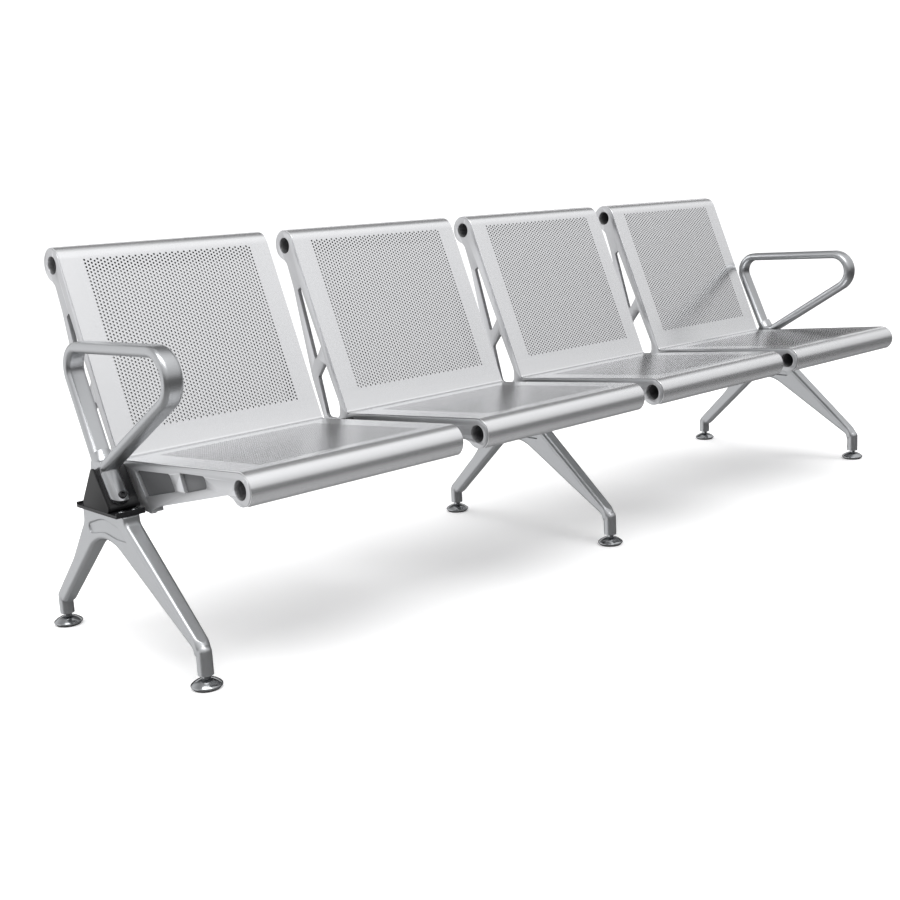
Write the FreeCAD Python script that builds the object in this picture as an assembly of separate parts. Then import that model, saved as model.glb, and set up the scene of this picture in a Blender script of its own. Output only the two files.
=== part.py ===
import FreeCAD, Part
import math
import os

V = FreeCAD.Vector

# The bench stands on z = 0 with its row of seats along X and its front towards -Y.
# The origin is on the floor, under the middle of the whole bench. All sizes are in millimetres.

# Row of seats
seat_count = 4
shell_width = 508.0
seat_gap = 72.0
sheet = 2.0
sheet_gap = 0.5

# Coarse openings that stand for the fine punched holes of the sheet
grid_columns = 12
grid_rows_back = 11
grid_rows_seat = 10
grid_open_share = 0.53
field_side_margin = 52.0
field_fold_margin = 48.0
field_roll_margin = 8.0

# Side profile of one seat, as (y, z) places on the surface that is sat on
fold_y = 96.4
fold_z = 385.0
back_lean_deg = 22.4
top_eye_z = 764.0
top_roll_radius = 36.0
front_eye_y = -326.5
front_eye_z = 382.5
front_roll_radius = 33.0
top_roll_end_deg = 8.0
front_roll_end_deg = 238.0

# Round stiffening tubes inside the two rolls
tube_diameter = 42.0
tube_wall = 2.0
tube_socket = 3.0

# Cast side brackets
bracket_plate = 10.0
eye_boss = 16.0
pocket_web = 2.5
bracket_proud = 1.0
eye_bore = 37.0
ledge_width = 20.0
ledge_thick = 3.5
ledge_from_fold = 12.0
ledge_from_eye = 20.0
saddle_thick = 11.0
saddle_inboard = 16.0
foot_boss_height = 18.0
saddle_rear_reach = 26.0
saddle_front_reach = 38.0
neck_forward = 4.0
neck_drop = 40.0
strut_high_drop = 96.0
strut_high_depth = 51.0
strut_mid_rise = 70.0
strut_mid_depth = 87.0
strut_low_drop = 17.0
strut_low_depth = 90.0
arm_heel_reach = 24.0
arm_heel_rise = 10.0
arm_toe_back = 39.5
arm_toe_drop = 14.5
stud_from_fold_seat = 76.0
stud_from_front_eye = 76.0
stud_from_fold_back = 85.0
stud_from_top_eye = 74.0

# Triangular beam
beam_y = 82.0
beam_bottom = 298.0
beam_base = 112.0
beam_height = 86.0
beam_corner = 7.0
beam_wall = 4.0
beam_overhang = 27.0
cap_thick = 4.0
cap_lip = 2.0
cap_plug = 22.0
slide_clearance = 0.3

# Legs, with the ankle places given as y
leg_width = 38.0
ankle_front_y = -217.0
ankle_rear_y = 328.5
ankle_diameter = 30.0
ankle_bottom = 26.0
leg_head_half = 84.0
leg_head_drop = 14.0
leg_heel_drop = 32.0
leg_back_reach = 74.0
leg_back_drop = 124.0
leg_edge = 8.0
front_elbow_z = 70.0
rear_elbow_z = 60.0
arch_y = 96.0
arch_z = 259.0
arch_radius = 102.0
ankle_cone_length = 90.0
ankle_cone_deg = 25.0
ankle_limit_top = 100.0
leg_recess = 3.0
groove_inset = 9.0
groove_width = 2.0
groove_depth = 1.2
groove_top = 16.0
groove_low = 22.0
leg_plate_thick = 6.0
leg_plate_half = 31.0
leg_plate_margin = 24.0
leg_plate_lip = 2.5
leg_plate_lip_rise = 5.0
leg_bolt_spacing = 27.0
leg_bolt_inset = 14.0

# Levelling feet
glide_diameter = 60.0
glide_height = 19.0
pad_height = 4.0
pad_diameter = 52.0
stud_diameter = 10.0
stud_length = 46.0
stud_clearance = 0.05
neck_diameter = 15.0
socket_bottom = 8.0
thread_end_gap = 2.0
thrust_gap = 0.05

# Armrests at both ends
arm_gap = 16.0
arm_width = 42.0
arm_thick = 22.0
arm_top_z = 616.0
arm_top_tilt_deg = 1.8
arm_rear_radius = 44.0
arm_front_radius = 50.0
arm_rear_lean_deg = 24.5
arm_front_slope_deg = 31.0
arm_blade = 17.0
arm_saddle_thick = 10.0
arm_saddle_drop = 34.0
arm_blade_bottom = 311.0

# Fasteners
bolt_m8 = 8.0
bolt_head = 13.0
bolt_head_height = 5.0
bolt_clearance = 0.2
stud_m5 = 5.0
nut_m5 = 9.0
nut_m5_height = 4.0
arm_screw = 10.0
arm_screw_head = 15.0

parts = {}

# Places along the row
seat_pitch = shell_width + seat_gap
bracket_face = shell_width / 2 + bracket_proud
arm_x = (seat_count - 1) / 2 * seat_pitch + bracket_face + arm_gap + arm_width / 2
leg_x = arm_x
beam_half_length = arm_x + beam_overhang


def unit(y, z):
    size = math.hypot(y, z)
    return y / size, z / size


def rounded_wire(corners, x=0.0):
    """Closed outline in a plane across X. Each corner is (y, z, radius)."""
    edges = []
    count = len(corners)
    starts = []
    for i in range(count):
        py, pz, _ = corners[i - 1]
        cy, cz, radius = corners[i]
        ny, nz, _ = corners[(i + 1) % count]
        if radius <= 0:
            starts.append(((cy, cz), None, (cy, cz)))
            continue
        ay, az = unit(py - cy, pz - cz)
        by, bz = unit(ny - cy, nz - cz)
        half = math.acos(max(-1.0, min(1.0, ay * by + az * bz))) / 2
        reach = radius / math.tan(half)
        my, mz = unit(ay + by, az + bz)
        deep = radius / math.sin(half) - radius
        starts.append((
            (cy + ay * reach, cz + az * reach),
            (cy + my * deep, cz + mz * deep),
            (cy + by * reach, cz + bz * reach),
        ))
    for i in range(count):
        first, middle, last = starts[i]
        following = starts[(i + 1) % count][0]
        if middle is not None:
            edges.append(Part.Arc(V(x, *first), V(x, *middle), V(x, *last)).toShape())
        if math.hypot(following[0] - last[0], following[1] - last[1]) > 1e-6:
            edges.append(Part.makeLine(V(x, *last), V(x, *following)))
    return Part.Wire(edges)


def plate(corners, x_low, x_high):
    """Solid between two X planes from a rounded (y, z) outline."""
    face = Part.Face(rounded_wire(corners, x_low))
    return face.extrude(V(x_high - x_low, 0, 0))


def rod(radius, x, y, z, length, direction):
    return Part.makeCylinder(radius, length, V(x, y, z), direction)


def hexagon(across, x, y, z, height, direction=V(0, 0, 1)):
    corner = across / math.sqrt(3)
    points = []
    for i in range(7):
        turn = math.radians(60 * i + 30)
        points.append(V(corner * math.cos(turn), corner * math.sin(turn), 0))
    solid = Part.Face(Part.makePolygon(points)).extrude(V(0, 0, height))
    solid.Placement = FreeCAD.Placement(V(x, y, z), FreeCAD.Rotation(V(0, 0, 1), direction))
    return solid


def along_x(shape, distance):
    moved = shape.copy()
    moved.translate(V(distance, 0, 0))
    return moved


def mirrored(shape):
    return shape.mirror(V(0, 0, 0), V(1, 0, 0))


# Lines of the seat profile. "up" runs up the back, "out" runs to the front edge of the seat.
lean = math.radians(back_lean_deg)
back_dir = (math.sin(lean), math.cos(lean))
back_behind = (math.cos(lean), -math.sin(lean))
back_tangent_z = top_eye_z - top_roll_radius * back_behind[1]
back_tangent_y = fold_y + (back_tangent_z - fold_z) * math.tan(lean)
top_eye_y = back_tangent_y + top_roll_radius * back_behind[0]

to_eye = (front_eye_y - fold_y, front_eye_z - fold_z)
eye_distance = math.hypot(*to_eye)
seat_rise = math.atan2(to_eye[1], -to_eye[0]) + math.asin(front_roll_radius / eye_distance)
seat_dir = (-math.cos(seat_rise), math.sin(seat_rise))
seat_below = (-math.sin(seat_rise), -math.cos(seat_rise))
seat_tangent = (
    front_eye_y - front_roll_radius * seat_below[0],
    front_eye_z - front_roll_radius * seat_below[1],
)


def back_point(height, depth):
    """Point at a height, at a depth behind the front surface of the back."""
    base = fold_y + (height - fold_z) * math.tan(lean)
    return base + depth / math.cos(lean), height


def seat_point(y, depth):
    """Point at a place along Y, at a depth below the top surface of the seat."""
    z = fold_z + (fold_y - y) * math.tan(seat_rise) - depth / math.cos(seat_rise)
    return y, z


def fold_corner(depth):
    """Where the back and the seat meet at a depth behind and below their surfaces."""
    slope_back = math.tan(lean)
    slope_seat = -math.tan(seat_rise)
    back_y0 = fold_y + depth / math.cos(lean)
    seat_z0 = fold_z - depth / math.cos(seat_rise)
    z = (seat_z0 + slope_seat * (back_y0 - fold_y - slope_back * fold_z)) / (1 - slope_seat * slope_back)
    return back_y0 + slope_back * (z - fold_z), z


def on_circle(cy, cz, radius, degrees):
    turn = math.radians(degrees)
    return cy + radius * math.cos(turn), cz + radius * math.sin(turn)


def shell_profile(depth):
    """Edges of the folded sheet at a depth under its upper surface, from the front roll to the top roll."""
    front_r = front_roll_radius - depth
    top_r = top_roll_radius - depth
    front_start = front_roll_end_deg
    front_stop = 90 - math.degrees(seat_rise)
    f0 = on_circle(front_eye_y, front_eye_z, front_r, front_start)
    f1 = on_circle(front_eye_y, front_eye_z, front_r, (front_start + front_stop) / 2)
    f2 = on_circle(front_eye_y, front_eye_z, front_r, front_stop)
    corner = fold_corner(depth)
    top_start = 180 - back_lean_deg
    t0 = on_circle(top_eye_y, top_eye_z, top_r, top_start)
    t1 = on_circle(top_eye_y, top_eye_z, top_r, (top_start + top_roll_end_deg) / 2)
    t2 = on_circle(top_eye_y, top_eye_z, top_r, top_roll_end_deg)
    return [
        Part.Arc(V(0, *f0), V(0, *f1), V(0, *f2)).toShape(),
        Part.makeLine(V(0, *f2), V(0, *corner)),
        Part.makeLine(V(0, *corner), V(0, *t0)),
        Part.Arc(V(0, *t0), V(0, *t1), V(0, *t2)).toShape(),
    ], f0, t2


def make_shell():
    """One folded sheet: rolled front edge, seat, sharp fold, back and rolled top edge."""
    upper, front_up, top_up = shell_profile(0.0)
    lower, front_low, top_low = shell_profile(sheet)
    wire = Part.Wire(upper + [Part.makeLine(V(0, *top_up), V(0, *top_low))]
                     + lower[::-1] + [Part.makeLine(V(0, *front_low), V(0, *front_up))])
    solid = Part.Face(wire).extrude(V(shell_width, 0, 0))
    solid.translate(V(-shell_width / 2, 0, 0))
    back_length = (back_tangent_z - fold_z) / math.cos(lean)
    seat_length = math.hypot(seat_tangent[0] - fold_y, seat_tangent[1] - fold_z)
    cutters = grid_cutters(back_length, grid_rows_back, back_dir, back_behind)
    cutters += grid_cutters(seat_length, grid_rows_seat, seat_dir, seat_below)
    return solid.cut(Part.makeCompound(cutters))


def grid_cutters(length, rows, along, through):
    """Square openings in one flat panel, from the fold outwards."""
    width = shell_width - 2 * field_side_margin
    reach = length - field_fold_margin - field_roll_margin
    step_x = width / grid_columns
    step_s = reach / rows
    open_x = step_x * grid_open_share
    open_s = step_s * grid_open_share
    cutters = []
    for column in range(grid_columns):
        x = -width / 2 + (column + 0.5) * step_x - open_x / 2
        for row in range(rows):
            low = field_fold_margin + (row + 0.5) * step_s - open_s / 2
            corner = V(x, fold_y + along[0] * low - through[0], fold_z + along[1] * low - through[1])
            far = V(0, along[0] * open_s, along[1] * open_s)
            across = V(open_x, 0, 0)
            face = Part.Face(Part.makePolygon([corner, corner + across, corner + across + far, corner + far,
                                               corner]))
            cutters.append(face.extrude(V(0, through[0] * (sheet + 2), through[1] * (sheet + 2))))
    return cutters


def make_tubes():
    """Round tubes inside the top and front rolls, seated in the bosses of both brackets."""
    half = bracket_face - eye_boss + tube_socket - stud_clearance
    solids = []
    for cy, cz in ((top_eye_y, top_eye_z), (front_eye_y, front_eye_z)):
        tube = rod(tube_diameter / 2, -half, cy, cz, 2 * half, V(1, 0, 0))
        solids.append(tube.cut(rod(tube_diameter / 2 - tube_wall, -half - 1, cy, cz, 2 * half + 2, V(1, 0, 0))))
    return solids


# Where the upper edge of a bracket lies under the sheet
under = sheet + sheet_gap
top_eye_radius = top_roll_radius - under
front_eye_radius = front_roll_radius - under
beam_slope = (beam_base / 2) / beam_height


def beam_face_y(z, side, off=0.0):
    """Y of a sloping face of the beam at a height, moved out by a distance. side is -1 front, 1 rear."""
    angle = math.atan(beam_slope)
    return beam_y + side * ((beam_bottom + beam_height - z) * beam_slope + off / math.cos(angle))


def beam_outline(grow, bottom_grow=None, corner=None):
    """Rounded triangle of the beam, grown on its faces."""
    low = beam_bottom - (grow if bottom_grow is None else bottom_grow)
    angle = math.atan(beam_slope)
    peak = beam_bottom + beam_height + grow / math.sin(angle)
    half = (peak - low) * beam_slope
    r = (beam_corner + grow) if corner is None else corner
    return [(beam_y - half, low, r), (beam_y + half, low, r), (beam_y, peak, r)]


def beam_prism(grow, x_low, x_high, bottom_grow=None, corner=None):
    return plate(beam_outline(grow, bottom_grow, corner), x_low, x_high)


# Outline of a bracket in the side view. The rear strut leans more upright than the back.
neck_rear = (top_eye_y - neck_forward, top_eye_z - neck_drop)
strut_rear_high = back_point(top_eye_z - strut_high_drop, strut_high_depth)
strut_rear_mid = back_point(fold_z + strut_mid_rise, strut_mid_depth)
strut_rear_low = back_point(fold_z - strut_low_drop, strut_low_depth)
saddle_rear_foot = beam_y + beam_base / 2 + saddle_rear_reach
saddle_front_foot = beam_y - beam_base / 2 - saddle_front_reach
arm_bottom_rear = (saddle_front_foot - arm_heel_reach, beam_bottom + arm_heel_rise)
arm_bottom_front = (front_eye_y + arm_toe_back, front_eye_z - arm_toe_drop)


def bracket_outline():
    leave = on_circle(top_eye_y, top_eye_z, top_eye_radius, -35)
    front_leave = on_circle(front_eye_y, front_eye_z, front_eye_radius, -40)
    high = back_point(top_eye_z - top_eye_radius * back_behind[1], under)
    fold_under = fold_corner(under)
    seat_end = seat_point(front_eye_y, under)
    points = [
        (high[0], high[1], 0),
        (fold_under[0], fold_under[1], 1.5),
        (seat_end[0], seat_end[1], 0),
        (front_leave[0], front_leave[1], 0),
        (arm_bottom_front[0], arm_bottom_front[1], 14),
        (arm_bottom_rear[0], arm_bottom_rear[1], 10),
        (saddle_front_foot, beam_bottom, 3),
        (saddle_rear_foot, beam_bottom, 3),
        (strut_rear_low[0], strut_rear_low[1], 60),
        (strut_rear_mid[0], strut_rear_mid[1], 200),
        (strut_rear_high[0], strut_rear_high[1], 120),
        (neck_rear[0], neck_rear[1], 22),
        (leave[0], leave[1], 0),
    ]
    return points


def behind_back(rise, set_back, radius):
    """Corner at a height over the fold, straight behind the front surface of the back."""
    z = fold_z + rise
    return back_point(z, 0)[0] + set_back, z, radius


def under_seat(out, drop, radius):
    """Corner at a distance in front of the fold, straight under the top surface of the seat."""
    y = fold_y - out
    return y, seat_point(y, 0)[1] - drop, radius


# Windows and pockets of the bracket, as rounded outlines
back_window = [behind_back(285, 27, 3), behind_back(276, 42, 5), behind_back(112, 61, 5),
               behind_back(149, 21, 6)]
lower_window = [behind_back(112, 25, 4), behind_back(76, 69, 9), behind_back(-17, 83, 12),
                behind_back(-17, 35, 18), behind_back(19, 20, 40)]
rear_pocket = [under_seat(57, 18, 4), under_seat(188, 18, 9), under_seat(205, 52, 4), under_seat(90, 70, 3)]
front_pocket = [under_seat(224, 14, 3), under_seat(310, 15, 9), under_seat(318, 38, 8), under_seat(237, 52, 4)]


def make_bracket():
    """Left-hand bracket of a seat, with its outer face at x = 0 and the seat towards +X."""
    body = plate(bracket_outline(), 0, bracket_plate)
    for cy, cz, radius in ((top_eye_y, top_eye_z, top_eye_radius), (front_eye_y, front_eye_z, front_eye_radius)):
        body = body.fuse(rod(radius, 0, cy, cz, eye_boss, V(1, 0, 0)))
    seat_rear = seat_point(fold_y - ledge_from_fold, under)
    seat_front = seat_point(front_eye_y + ledge_from_eye, under)
    ledge_seat = plate([(seat_rear[0], seat_rear[1], 0), (seat_front[0], seat_front[1], 0),
                        (seat_front[0], seat_front[1] - ledge_thick, 0),
                        (seat_rear[0], seat_rear[1] - ledge_thick, 0)], 0, bracket_plate + ledge_width)
    back_low = back_point(fold_z + ledge_from_fold, under)
    back_high = back_point(top_eye_z - top_roll_radius, under)
    depth_y = ledge_thick / math.cos(lean)
    ledge_back = plate([(back_low[0], back_low[1], 0), (back_high[0], back_high[1], 0),
                        (back_high[0] + depth_y, back_high[1], 0),
                        (back_low[0] + depth_y, back_low[1], 0)], 0, bracket_plate + ledge_width)
    body = body.fuse(ledge_seat).fuse(ledge_back)
    saddle_high = bracket_plate + saddle_inboard
    saddle = beam_prism(saddle_thick, 0, saddle_high, bottom_grow=0.0, corner=6.0)
    room_front = beam_y - beam_base
    room_rear = beam_y + beam_base
    ceiling = plate([(room_front, 0, 0), (room_rear, 0, 0), (*seat_point(room_rear, under), 0),
                     (*seat_point(room_front, under), 0)], -1, saddle_high + 1)
    saddle = saddle.common(ceiling)
    bosses = []
    for low_y, high_y in ((saddle_front_foot, beam_y - beam_base / 2 + 8),
                          (beam_y + beam_base / 2 - 8, saddle_rear_foot)):
        bosses.append(plate([(low_y, beam_bottom, 2), (high_y, beam_bottom, 0),
                             (high_y, beam_bottom + foot_boss_height, 0),
                             (low_y, beam_bottom + foot_boss_height, 6)], 0, saddle_high))
    body = body.fuse(saddle).fuse(bosses[0]).fuse(bosses[1])
    for window in (back_window, lower_window):
        body = body.cut(plate(window, -1, bracket_plate + 1))
    for pocket in (rear_pocket, front_pocket):
        body = body.cut(plate(pocket, -1, bracket_plate - pocket_web))
    body = body.cut(beam_prism(0.0, -1, saddle_high + 1, corner=beam_corner))
    for cy, cz in ((top_eye_y, top_eye_z), (front_eye_y, front_eye_z)):
        body = body.cut(rod(eye_bore / 2, -1, cy, cz, eye_boss + 2, V(1, 0, 0)))
        body = body.cut(rod(tube_diameter / 2 + stud_clearance, eye_boss - tube_socket, cy, cz, tube_socket + 1,
                            V(1, 0, 0)))
    for y in clamp_bolt_places():
        body = body.cut(rod(bolt_m8 / 2 + stud_clearance, clamp_x(), y, beam_bottom - 1, foot_boss_height - 2, V(0, 0, 1)))
    for y, z, direction in stud_places():
        body = body.cut(rod(stud_m5 / 2 + 0.3, stud_x(), y, z, under + ledge_thick + 6, direction))
    return body.removeSplitter()


def clamp_x():
    return (bracket_plate + saddle_inboard) / 2


def clamp_bolt_places():
    middle_front = (saddle_front_foot + beam_y - beam_base / 2) / 2
    middle_rear = (saddle_rear_foot + beam_y + beam_base / 2) / 2
    return middle_front, middle_rear


def stud_x():
    return bracket_plate + ledge_width * 0.55


def stud_places():
    """Weld studs under the sheet: (y, z, direction away from the sheet)."""
    places = []
    for y in (fold_y - stud_from_fold_seat, front_eye_y + stud_from_front_eye):
        point = seat_point(y, sheet)
        places.append((point[0], point[1], V(0, seat_below[0], seat_below[1])))
    for z in (fold_z + stud_from_fold_back, top_eye_z - stud_from_top_eye):
        point = back_point(z, sheet)
        places.append((point[0], point[1], V(0, back_behind[0], back_behind[1])))
    return places


def make_studs():
    """Weld studs and their nuts for the left bracket."""
    solids = []
    length = sheet_gap + ledge_thick + nut_m5_height + 2
    for y, z, direction in stud_places():
        solids.append(rod(stud_m5 / 2, stud_x(), y, z, length, direction))
        start = sheet_gap + ledge_thick
        nut = hexagon(nut_m5, stud_x(), y + direction.y * start, z + direction.z * start, nut_m5_height, direction)
        bore = rod(stud_m5 / 2 + 0.05, stud_x(), y, z, length + 2, direction)
        solids.append(nut.cut(bore))
    return solids


def make_clamp_plate():
    low = saddle_front_foot
    high = saddle_rear_foot
    solid = plate([(low, beam_bottom - leg_plate_thick, 2), (high, beam_bottom - leg_plate_thick, 2),
                   (high, beam_bottom, 0), (low, beam_bottom, 0)],
                  0, bracket_plate + saddle_inboard)
    for y in clamp_bolt_places():
        solid = solid.cut(rod(bolt_m8 / 2 + bolt_clearance, clamp_x(), y, beam_bottom - leg_plate_thick - 1,
                              leg_plate_thick + 2, V(0, 0, 1)))
    return solid


def make_clamp_bolts():
    solids = []
    under_plate = beam_bottom - leg_plate_thick
    for y in clamp_bolt_places():
        head = hexagon(bolt_head, clamp_x(), y, under_plate - bolt_head_height, bolt_head_height)
        shank = rod(bolt_m8 / 2, clamp_x(), y, under_plate - 1, leg_plate_thick + foot_boss_height - 5, V(0, 0, 1))
        solids.append(head.fuse(shank).removeSplitter())
    return solids


def make_beam():
    tube = beam_prism(0.0, -beam_half_length, beam_half_length)
    inner = beam_prism(-beam_wall, -beam_half_length - 1, beam_half_length + 1,
                       bottom_grow=-beam_wall, corner=beam_corner - beam_wall)
    tube = tube.cut(inner)
    for side in (-1, 1):
        tube = tube.cut(arm_screw_axis_rod(side, arm_screw / 2 + stud_clearance, 30))
    return tube


def make_cap(side):
    outer = beam_prism(cap_lip, beam_half_length, beam_half_length + cap_thick, bottom_grow=0.0)
    plug = beam_prism(-beam_wall - slide_clearance, beam_half_length - cap_plug, beam_half_length,
                      bottom_grow=-beam_wall - slide_clearance, corner=beam_corner - beam_wall)
    core = beam_prism(-beam_wall - 3, beam_half_length - cap_plug - 1, beam_half_length,
                      bottom_grow=-beam_wall - 3, corner=1.0)
    solid = outer.fuse(plug.cut(core)).removeSplitter()
    return solid if side > 0 else mirrored(solid)


# Leg head and flange places
leg_top = beam_bottom - leg_plate_thick
leg_head_front = beam_y - leg_head_half
leg_head_rear = beam_y + leg_head_half


def leg_outline():
    half = ankle_diameter / 2
    return [
        (leg_head_front, leg_top, 0),
        (leg_head_front, leg_top - leg_head_drop, 16),
        (ankle_front_y - half, front_elbow_z + 8, 16),
        (ankle_front_y - half, ankle_bottom, 0),
        (ankle_front_y + half, ankle_bottom, 0),
        (ankle_front_y + half, front_elbow_z + 4, 14),
        (arch_y, arch_z, arch_radius),
        (ankle_rear_y - half, rear_elbow_z - 10, 14),
        (ankle_rear_y - half, ankle_bottom, 0),
        (ankle_rear_y + half, ankle_bottom, 0),
        (ankle_rear_y + half, rear_elbow_z + 4, 16),
        (leg_head_rear + leg_back_reach, leg_top - leg_back_drop, 300),
        (leg_head_rear + 3, leg_top - leg_heel_drop, 30),
        (leg_head_rear, leg_top, 0),
    ]


def under_head(along, drop, radius):
    """Corner at a distance behind the middle of the leg head, under its top face."""
    return beam_y + along, leg_top - drop, radius


leg_recess_outline = [under_head(61, 54, 8), under_head(67, 34, 10), under_head(2, 13, 90), under_head(-54, 24, 30),
                      under_head(-88, 49, 3), under_head(-42, 49, 50), under_head(4, 42, 90),
                      under_head(38, 50, 20)]


def foot_places():
    return (("front", ankle_front_y), ("rear", ankle_rear_y))


def leg_bolt_places():
    return (beam_y - beam_base / 2 - leg_bolt_inset, beam_y + beam_base / 2 + leg_bolt_inset)


def ankle_limit(y, z, toward):
    """Round ankle: a cylinder, a ball at the elbow and a cone that opens up the limb."""
    half = ankle_diameter / 2
    up = V(0, *unit(toward[0] - y, toward[1] - z))
    shape = rod(half, 0, y, ankle_bottom, z - ankle_bottom, V(0, 0, 1))
    shape = shape.fuse(Part.makeSphere(half, V(0, y, z)))
    spread = half + ankle_cone_length * math.tan(math.radians(ankle_cone_deg))
    return shape.fuse(Part.makeCone(half, spread, ankle_cone_length, V(0, y, z), up))


def tilted(shape, side):
    """Leans a cutter onto the tapering side face of the leg."""
    taper = math.atan((leg_width - ankle_diameter) / 2 / (leg_top - ankle_bottom))
    leaned = shape.copy()
    leaned.rotate(V(side * leg_width / 2, 0, leg_top), V(0, 1, 0), side * math.degrees(taper))
    return leaned


def side_cutter(outline, depth, side):
    face = leg_width / 2
    cutter = plate(outline, face - depth, face + 4) if side > 0 else plate(outline, -face - 4, -face + depth)
    return tilted(cutter, side)


def groove_outline():
    """Thin channel beside the front edge of the leg, from under the head to just above the ankle."""
    top_y, top_z = leg_head_front, leg_top - leg_head_drop
    low_y, low_z = ankle_front_y - ankle_diameter / 2, front_elbow_z + 8
    dy, dz = unit(low_y - top_y, low_z - top_z)
    inside_y, inside_z = -dz, dy
    length = math.hypot(low_y - top_y, low_z - top_z)

    def at(along, off):
        return top_y + dy * along + inside_y * off, top_z + dz * along + inside_z * off

    near = groove_inset
    wide = groove_inset + groove_width
    return [(*at(groove_top, near), 1), (*at(length - groove_low, near), 1), (*at(length - groove_low, wide), 1),
            (*at(groove_top, wide), 1)]


def make_leg():
    """One cast leg about x = 0: a head under the beam, an arch, two limbs and round ankles."""
    half = leg_width / 2
    body = plate(leg_outline(), -half, half)
    ankle_half = ankle_diameter / 2
    far = 2 * (ankle_rear_y - ankle_front_y)
    wedge = Part.makePolygon([V(-half, -far, leg_top), V(half, -far, leg_top), V(ankle_half, -far, ankle_bottom),
                              V(-ankle_half, -far, ankle_bottom), V(-half, -far, leg_top)])
    body = body.common(Part.Face(wedge).extrude(V(0, 2 * far, 0)))
    long_edges = []
    for edge in body.Edges:
        box = edge.BoundBox
        beside = box.XMin > ankle_half - 1 or box.XMax < 1 - ankle_half
        if beside and box.ZMax < leg_top - 0.5 and box.ZMin > ankle_bottom + 0.5:
            long_edges.append(edge)
    body = body.makeFillet(leg_edge, long_edges)
    front = ankle_limit(ankle_front_y, front_elbow_z, (beam_y - leg_head_half / 2, leg_top - leg_head_half))
    rear = ankle_limit(ankle_rear_y, rear_elbow_z, (beam_y + leg_head_half, leg_top - leg_head_half / 2))
    upper = Part.makeBox(leg_width + 10, far, leg_top, V(-half - 5, -far / 2, ankle_limit_top))
    body = body.common(front.fuse(rear).fuse(upper))
    for side in (-1, 1):
        body = body.cut(side_cutter(leg_recess_outline, leg_recess, side))
        body = body.cut(side_cutter(groove_outline(), groove_depth, side))
    for _, y in foot_places():
        body = body.cut(rod(stud_diameter / 2 + stud_clearance, 0, y, ankle_bottom - 1, stud_length + 1, V(0, 0, 1)))
    for y in leg_bolt_places():
        for x in (-leg_bolt_spacing / 2, leg_bolt_spacing / 2):
            body = body.cut(rod(bolt_m8 / 2 + stud_clearance, x, y, leg_top - 24, 30, V(0, 0, 1)))
    return body.removeSplitter()


def make_leg_plate():
    """Black saddle plate between the beam and a leg, with a small lip at the front and rear."""
    low = beam_y - beam_base / 2 - leg_plate_margin
    high = beam_y + beam_base / 2 + leg_plate_margin
    lip_top = beam_bottom + leg_plate_lip_rise
    solid = plate([(low, leg_top, 1), (high, leg_top, 1), (high, lip_top, 1), (high - leg_plate_lip, lip_top, 1),
                   (high - leg_plate_lip, beam_bottom, 1), (low + leg_plate_lip, beam_bottom, 1),
                   (low + leg_plate_lip, lip_top, 1), (low, lip_top, 1)],
                  -leg_plate_half, leg_plate_half)
    for y in leg_bolt_places():
        for x in (-leg_bolt_spacing / 2, leg_bolt_spacing / 2):
            solid = solid.cut(rod(bolt_m8 / 2 + bolt_clearance, x, y, leg_top - 1, leg_plate_thick + 2, V(0, 0, 1)))
    return solid


def make_leg_bolts():
    solids = []
    for y in leg_bolt_places():
        for x in (-leg_bolt_spacing / 2, leg_bolt_spacing / 2):
            head = Part.makeCylinder(bolt_head / 2, bolt_head_height, V(x, y, beam_bottom))
            head = head.makeFillet(1.8, [e for e in head.Edges if e.BoundBox.ZMin > beam_bottom + 1])
            head = head.cut(hexagon(bolt_m8 * 0.62, x, y, beam_bottom + 2, bolt_head_height))
            shank = rod(bolt_m8 / 2, x, y, leg_top - 20, 20 + leg_plate_thick + 1, V(0, 0, 1))
            solids.append(head.fuse(shank).removeSplitter())
    return solids


def make_glide(y):
    """Chrome dome of a levelling foot, turned about its axis."""
    r = glide_diameter / 2
    outline = [V(0, 0, pad_height - 1), V(pad_diameter / 2 - 2, 0, pad_height - 1)]
    ring_low = V(r - 1.2, 0, pad_height)
    ring_mid = V(r, 0, pad_height + 2.2)
    ring_high = V(r - 1.0, 0, pad_height + 4.4)
    dome_mid = V(r * 0.62, 0, glide_height - 3.4)
    dome_top = V(neck_diameter / 2 + 1.5, 0, glide_height)
    edges = [Part.makeLine(outline[0], outline[1]), Part.makeLine(outline[1], ring_low),
             Part.Arc(ring_low, ring_mid, ring_high).toShape(), Part.Arc(ring_high, dome_mid, dome_top).toShape(),
             Part.makeLine(dome_top, V(0, 0, glide_height)), Part.makeLine(V(0, 0, glide_height), outline[0])]
    solid = Part.Face(Part.Wire(edges)).revolve(V(0, 0, 0), V(0, 0, 1), 360)
    solid = Part.Solid(solid.Shells[0]) if solid.ShapeType != "Solid" else solid
    solid = solid.cut(rod(stud_diameter / 2 + stud_clearance, 0, 0, socket_bottom, 40, V(0, 0, 1)))
    solid.translate(V(0, y, 0))
    return solid


def make_pad(y):
    """Black rubber sole pressed into the underside of a glide."""
    solid = Part.makeCylinder(pad_diameter / 2, pad_height - 1, V(0, y, 0))
    return solid.makeFillet(1.0, [e for e in solid.Edges if e.BoundBox.ZMax < 0.1])


def make_stud(y):
    """Threaded stud with the hexagon that a spanner turns. It turns in the glide's blind socket."""
    stem_low = socket_bottom + thrust_gap
    stem_high = ankle_bottom + stud_length - thread_end_gap
    stem = rod(stud_diameter / 2, 0, y, stem_low, stem_high - stem_low, V(0, 0, 1))
    collar_low = glide_height + slide_clearance
    collar = hexagon(neck_diameter, 0, y, collar_low, ankle_bottom - slide_clearance - collar_low)
    return stem.fuse(collar).removeSplitter()


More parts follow.
